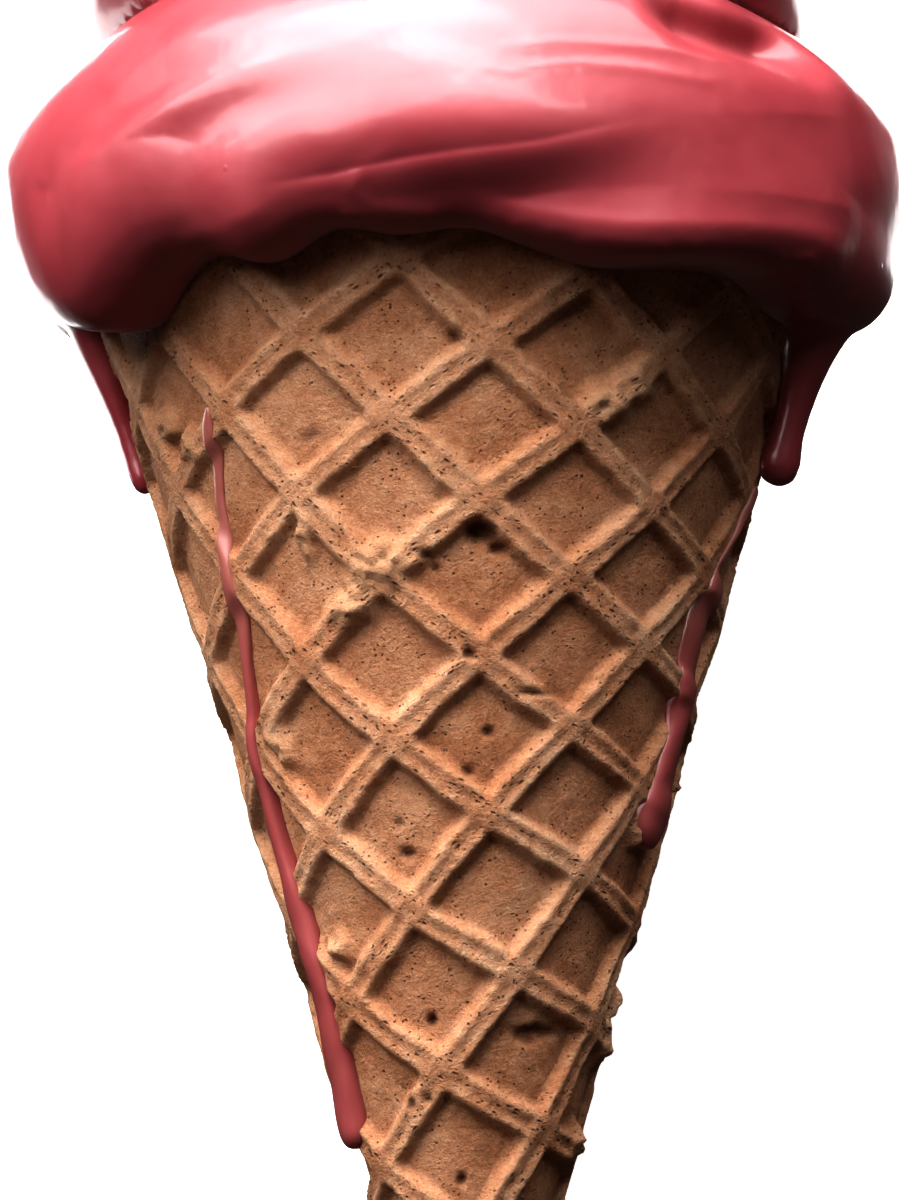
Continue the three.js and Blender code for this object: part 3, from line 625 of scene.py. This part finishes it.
RIGHT_DROP = [(76, 121, 9, 4.5), (78, 114, 6.2, 4.2), (79, 108.5, 3.3, 2.6), (80, 105, 2.4, 1.9),
              (80.5, 101, 2.0, 1.7), (81, 97.6, 2.2, 2.2), (81, 96.1, 2.3, 2.2)]
REAR_DROP = [(-99, 119, 6, 3.4), (-100, 112, 3.4, 2.2), (-101, 106.5, 2.1, 1.4), (-102, 102.3, 1.8, 1.4),
             (-102, 98.6, 1.9, 1.5)]
DROPS_STAND = [(RIGHT_DROP, 1.5), (REAR_DROP, 0.8)]
DROP_COLUMNS, DROP_ROWS = 40, 60
for knots, stand in DROPS_STAND:
    bpy.ops.object.select_all(action="DESELECT")
    bpy.ops.mesh.primitive_uv_sphere_add(segments=DROP_COLUMNS, ring_count=DROP_ROWS, radius=1)
    drop = bpy.context.object
    column, row = column_and_row(drop, DROP_COLUMNS, DROP_ROWS)
    angle, height, out = stream_points(column, row, DROP_COLUMNS, DROP_ROWS, knots,
                                       lambda angle, height, out: stand)
    radius = height * math.tan(HALF_ANGLE) + wrap_lift(angle, height) + out * math.cos(HALF_ANGLE)
    set_points(drop, laid_down(round_axis(angle, radius, height - out * math.sin(HALF_ANGLE))))
    swirl.select_set(True)
    bpy.context.view_layer.objects.active = swirl
    bpy.ops.object.join()

# the turns and drops are melted into one skin, whose joins run smooth, and it is flat on the floor
swirl.data.remesh_voxel_size = MELT_VOXEL
bpy.ops.object.voxel_remesh()
bpy.ops.object.mode_set(mode="EDIT")
bpy.ops.mesh.select_all(action="SELECT")
bpy.ops.mesh.vertices_smooth(factor=0.5, repeat=MELT_SMOOTHINGS)
bpy.ops.mesh.select_all(action="DESELECT")
bpy.ops.object.mode_set(mode="OBJECT")


def get_points(piece, kind="co"):
    values = np.zeros(len(piece.data.vertices) * 3)
    if kind == "co":
        piece.data.vertices.foreach_get("co", values)
    else:
        piece.data.vertex_normals.foreach_get("vector", values)
    return values.reshape(-1, 3)


def stood_up(points):
    """Angle, radius and height round the axis of the cone, in millimetres, of points where they lie."""
    back = (points * 1000 - np.array(LYING.translation)) @ np.array(LYING.to_3x3())
    return np.degrees(np.arctan2(back[:, 0], -back[:, 1])), np.hypot(back[:, 0], back[:, 1]), back[:, 2]


# its shown side is divided once more, so it takes the finest forms
SHOWN_ANGLE, SHOWN_FROM, SHOWN_TO, SHOWN_RADIUS = 62, 105.5, 130, 34
angle, radius, height = stood_up(get_points(swirl))
shown = (np.abs(angle) < SHOWN_ANGLE) & (height > SHOWN_FROM) & (height < SHOWN_TO) & (radius > SHOWN_RADIUS)
corners = np.zeros(len(swirl.data.loops), int)
swirl.data.loops.foreach_get("vertex_index", corners)
starts = np.zeros(len(swirl.data.polygons), int)
swirl.data.polygons.foreach_get("loop_start", starts)
swirl.data.polygons.foreach_set("select", np.logical_and.reduceat(shown[corners], starts))
bpy.ops.object.mode_set(mode="EDIT")
bpy.ops.mesh.subdivide(number_cuts=1, smoothness=0)
bpy.ops.object.mode_set(mode="OBJECT")

# above the hem, and clear of the drops and the peak, the skin is drawn back to the true form, which
# the melting has blunted
DRAWN_AT_MOST = 1.5
HEM_CLEAR, HEM_FADE, PEAK_FADE = 1, 1.5, 3
DROPS_CLEAR = [(RIGHT_DROP, 14), (REAR_DROP, 10)]
FLOOR_GAP = 0.00002
points = get_points(swirl)
angle, radius, height = stood_up(points)
hem = smooth_curve(wrapped, angle)
above = smooth_step((height - hem - HEM_CLEAR) / HEM_FADE)
for knots, clear in DROPS_CLEAR:
    away = np.abs(between(knots[0][0], angle)) / clear
    above *= smooth_step(np.maximum(away - 1, (height - knots[0][1] - 4) / 4) / 0.5)
above *= smooth_step((PEAK_FROM - height) / PEAK_FADE)
true_radius = outer_radius(angle, height, hem)
new_radius = radius + above * np.clip(true_radius - radius, -DRAWN_AT_MOST, DRAWN_AT_MOST)
points = round_axis(angle, new_radius, height)
set_points(swirl, laid_down(points))
edges = sum(size * fold_lift(angle, height, path, half_width) for path, half_width, size in WET_EDGES)
edges = edges * (new_radius > SHOWN_RADIUS)
points = laid_down(points) + get_points(swirl, "normal") * edges[:, None] * 0.001
points[:, 2] = np.maximum(points[:, 2], FLOOR_GAP)
set_points(swirl, points)
bpy.ops.object.shade_smooth()

# Melted strawberry ice cream: sugar syrup and milk fat with a wet gloss. Light soaks in some
# millimetres and comes out redder, so what faces away from the light is deep crimson. The fruit is
# stirred in unevenly over 15 mm, the skin ripples over 4 mm, and a few bubbles of 0.7 mm stand in it.
# Where it is only a film on the wafer, the brown of the crust shows through.
melted, melt = new_material("melted_strawberry_ice_cream")
where = add(melted, "TexCoord").outputs["Object"]
millimetres = add(melted, "VectorMath", {"operation": "SCALE", "Scale": 1000}, {0: where}).outputs[0]
stirred = add(melted, "TexNoise", {"Scale": 0.065, "Detail": 2.0, "Distortion": 1.2}, {"Vector": millimetres})
stirred = add(melted, "MapRange", {"From Min": 0.35, "From Max": 0.65},
              {"Value": stirred.outputs["Fac"]}).outputs[0]
fruit = add(melted, "Mix", {"data_type": "RGBA", 6: linear("#a8434c"), 7: linear("#b34e56")}, {0: stirred})
film = add(melted, "Attribute", {"attribute_name": "film_share"}).outputs["Fac"]
seen = add(melted, "Mix", {"data_type": "RGBA", 7: linear("#c27a6c")}, {0: film, 6: fruit.outputs[2]})
melted.node_tree.links.new(seen.outputs[2], melt.inputs["Base Color"])
wetness = add(melted, "MapRange", {"To Min": 0.38, "To Max": 0.44}, {"Value": stirred}).outputs[0]
melted.node_tree.links.new(wetness, melt.inputs["Roughness"])
melt.inputs["Specular IOR Level"].default_value = 1.0
melt.inputs["IOR"].default_value = 1.42
melt.inputs["Subsurface Weight"].default_value = 0.2
melt.inputs["Subsurface Radius"].default_value = (1.0, 0.3, 0.3)
melt.inputs["Subsurface Scale"].default_value = 0.003
melt.inputs["Coat Weight"].default_value = 0.5
melt.inputs["Coat Roughness"].default_value = 0.15
melt.inputs["Coat IOR"].default_value = 1.4
ripple = add(melted, "TexNoise", {"Scale": 0.25, "Detail": 2.0}, {"Vector": millimetres}).outputs["Fac"]
rippled = add(melted, "Bump", {"Strength": 0.5, "Distance": 0.0002}, {"Height": ripple}).outputs[0]
cells = add(melted, "TexVoronoi", {"Scale": 0.25}, {"Vector": millimetres})
dome = add(melted, "MapRange", {"From Min": 0.04, "From Max": 0.1, "To Min": 1.0, "To Max": 0.0},
           {"Value": cells.outputs["Distance"]}).outputs[0]
chosen = add(melted, "SeparateColor", links={"Color": cells.outputs["Color"]}).outputs[0]
few = add(melted, "Math", {"operation": "GREATER_THAN", 1: 0.8}, {0: chosen}).outputs[0]
bubbles = add(melted, "Math", {"operation": "MULTIPLY"}, {0: dome, 1: few}).outputs[0]
skin = add(melted, "Bump", {"Strength": 0.4, "Distance": 0.0001},
           {"Height": bubbles, "Normal": rippled}).outputs[0]
melted.node_tree.links.new(skin, melt.inputs["Normal"])
melted.node_tree.links.new(skin, melt.inputs["Coat Normal"])
swirl.data.materials.append(melted)
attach(swirl, "root")
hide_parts("ice_cream")

# ---------------------------------------------------------------------------------------------
# The runs: two thin threads of melt that have crept down the wafer, over its ridges and through
# its hollows, and have stopped in a rounded bead.
# ---------------------------------------------------------------------------------------------

RIGHT_RUN = [(79, 96, 0.9, 0.5), (76, 92, 1.1, 0.5), (72, 87.5, 2, 0.6), (69, 82, 2.5, 0.7),
             (68.5, 77, 2.1, 0.7), (69, 72, 2, 0.8), (68, 67.5, 2.5, 1), (67.5, 63.5, 3.1, 1.3),
             (68, 61, 3.1, 1.4)]
LEFT_RUN = [(-47.8, 101, 0.8, 0.25), (-49.5, 96.5, 0.9, 0.25), (-52.5, 92, 0.8, 0.25),
            (-53.5, 86.5, 0.9, 0.3), (-54.5, 82.5, 1.2, 0.35), (-57.5, 77, 0.8, 0.4), (-62, 70, 0.9, 0.5),
            (-63.5, 62, 1.2, 0.6), (-62, 54, 1.6, 0.7), (-62, 47.5, 1.8, 0.9), (-65, 41, 2.1, 1.1),
            (-69, 36.5, 2.4, 1.4), (-70, 34.2, 2.4, 1.5)]
RUN_COLUMNS, RUN_ROWS = 28, 260
RUN_SMOOTHINGS = 24
FILM_ABOVE, FILM_FADE = 88, 22
SUNK_IN, STANDING_OUT = 0.2, 0.12
# how far the brown of the crust shows through a run: everywhere, and more over a length above a height
SEEN_THROUGH, MORE_SEEN, MORE_SEEN_ABOVE, MORE_SEEN_OVER = 0.3, 0.5, 72, 16


def on_wafer(angle, height, out):
    """How far a run stands off the cone: a film follows the crust, and a thick run fills its hollows."""
    slant = height / math.cos(HALF_ANGLE)
    lift = wafer_relief(angle, slant)[0]
    full = smooth_step((FILM_ABOVE - height) / FILM_FADE)
    top = lift + (np.maximum(lift, -0.15 + 0.15 * lift) - lift) * full
    return np.where(out < 0, np.minimum(lift, top) - SUNK_IN, top + STANDING_OUT)


for name, knots in (("melt_run_right", RIGHT_RUN), ("melt_run_left", LEFT_RUN)):
    bpy.ops.object.select_all(action="DESELECT")
    bpy.ops.mesh.primitive_uv_sphere_add(segments=RUN_COLUMNS, ring_count=RUN_ROWS, radius=1)
    run = bpy.context.object
    run.name = name
    column, row = column_and_row(run, RUN_COLUMNS, RUN_ROWS)
    angle, height, out = stream_points(column, row, RUN_COLUMNS, RUN_ROWS, knots, on_wafer)
    radius = height * math.tan(HALF_ANGLE) + wrap_lift(angle, height) + out * math.cos(HALF_ANGLE)
    set_points(run, laid_down(round_axis(angle, radius, height - out * math.sin(HALF_ANGLE))))
    bpy.ops.object.mode_set(mode="EDIT")
    bpy.ops.mesh.select_all(action="SELECT")
    bpy.ops.mesh.normals_make_consistent(inside=False)
    bpy.ops.mesh.vertices_smooth(factor=0.5, repeat=RUN_SMOOTHINGS)
    bpy.ops.object.mode_set(mode="OBJECT")
    bpy.ops.object.shade_smooth()
    more_seen = smooth_step((height - MORE_SEEN_ABOVE) / MORE_SEEN_OVER)
    add_values(run, "film_share", SEEN_THROUGH + MORE_SEEN * more_seen)
    run.data.materials.append(melted)
    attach(run, "root")
    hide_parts(name)

# ---------------------------------------------------------------------------------------------
# The studio: a pale paper lit from below as on a light table, soft lamps over the swirl, behind it
# and on its left, and a dim sky.
# ---------------------------------------------------------------------------------------------

bpy.ops.object.select_all(action="DESELECT")
bpy.ops.mesh.primitive_plane_add(size=8, location=(0, 0, 0))
floor = bpy.context.object
floor.name = "floor"
# Matt white paper with light coming up through it, so it looks plain white round the piece. It sends
# no light to the piece and isn't reflected in it, which leaves the melt's undersides deep crimson.
floor_paper, paper = new_material("pale_paper")
paper.inputs["Base Color"].default_value = linear("#efecea")
paper.inputs["Roughness"].default_value = 0.9
paper.inputs["Emission Color"].default_value = linear("#fbfafa")
paper.inputs["Emission Strength"].default_value = 0.8
floor.data.materials.append(floor_paper)
floor.visible_diffuse = False
floor.visible_glossy = False

# two glowing white cards lie beside the piece, unseen by the eye and giving it no light, so only its
# wet edges reflect them: the inner and outer side of each, in millimetres, at three places along the piece
CARDS = {-1: [(120, 44, 84), (70, 45, 84), (14, 47, 78)], 1: [(120, 44, 84), (70, 45, 84), (40, 47, 80)]}
# matt white card that glows evenly though it is no lamp, and gives the wet edges over it a reflected white
# rim
glowing_card_material, white = new_material("glowing_white_card")
white.inputs["Roughness"].default_value = 0.9
white.inputs["Emission Color"].default_value = linear("#fdfdfd")
white.inputs["Emission Strength"].default_value = 2.5
for side, card_sides in CARDS.items():
    corners = [(side * x * 0.001, y * 0.001, 0.001) for y, inner, outer in card_sides for x in (inner, outer)]
    strip = bpy.data.meshes.new("glowing_white_card")
    strip.from_pydata(corners, [], [(0, 1, 3, 2), (2, 3, 5, 4)])
    strip.materials.append(glowing_card_material)
    card = bpy.data.objects.new("glowing_white_card", strip)
    bpy.context.scene.collection.objects.link(card)
    card.visible_camera = False
    card.visible_diffuse = False
    card.visible_shadow = False

SWIRL_MIDDLE = Vector((0, 0.02, 0.04))


def soft_lamp(name, direction, distance, size, power):
    """A lamp some metres from the swirl in a direction, facing it, with its size in metres and its watts."""
    bpy.ops.object.light_add(type="AREA", location=SWIRL_MIDDLE + Vector(direction).normalized() * distance)
    lamp = bpy.context.object
    lamp.name = name
    lamp.data.shape = "RECTANGLE"
    lamp.data.size, lamp.data.size_y = size
    lamp.data.energy = power
    lamp.rotation_euler = Vector(direction).to_track_quat("Z", "Y").to_euler()


soft_lamp("lamp_over", (-0.35, 0.4, 0.84), 0.45, (0.68, 0.4), 6)
soft_lamp("lamp_band", (0.2, 0.28, 0.94), 0.5, (0.46, 0.08), 1.25)
soft_lamp("lamp_behind", (0, 0.8, 0.55), 1.0, (1.6, 0.7), 20)
soft_lamp("lamp_left", (-0.78, 0.52, 0.36), 0.8, (0.7, 0.4), 1.2)

sky = bpy.data.worlds.new("pale_sky")
sky.use_nodes = True
sky.node_tree.nodes["Background"].inputs["Color"].default_value = linear("#ffdccb")
sky.node_tree.nodes["Background"].inputs["Strength"].default_value = 0.038
bpy.context.scene.world = sky
bpy.context.scene.view_settings.view_transform = "Standard"
bpy.context.scene.view_settings.gamma = 0.77
